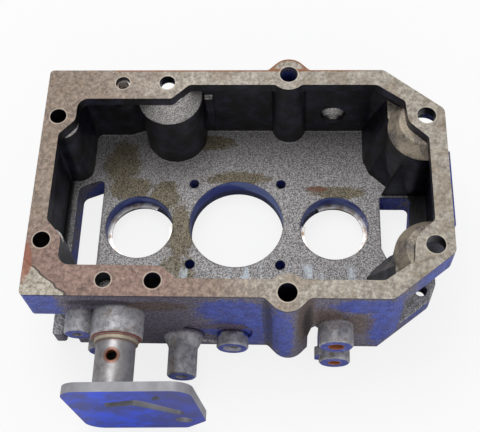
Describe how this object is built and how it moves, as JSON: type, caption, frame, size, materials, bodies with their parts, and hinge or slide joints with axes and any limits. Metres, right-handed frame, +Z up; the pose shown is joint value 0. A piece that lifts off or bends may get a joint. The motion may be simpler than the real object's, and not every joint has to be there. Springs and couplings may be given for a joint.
{
  "type": "gearbox housing",
  "caption": "Open cast-iron gearbox housing with machined rim, three bearing seats in its floor, wall bosses and a spigot with a slotted plate.",
  "frame": {"origin": "centre bearing seat's axis at the base plane", "axes": "+Z up out of the open side, +X along the row of bearing seats, -Y out of the front wall that carries the bosses"},
  "size_m": [0.2918, 0.2505, 0.1],
  "materials": {
    "cast_iron": "rough cast, machined on the rim",
    "turned_steel": "turned, stained",
    "plate_steel": "dull",
    "spring_steel": "bright"
  },
  "bodies": {
    "root": {"housing": "cast_iron", "spigot_tube": "turned_steel", "slotted_plate": "plate_steel", "snap_ring_left": "spring_steel", "snap_ring_right": "spring_steel", "ring_dowel": "spring_steel"}
  },
  "joints": []
}
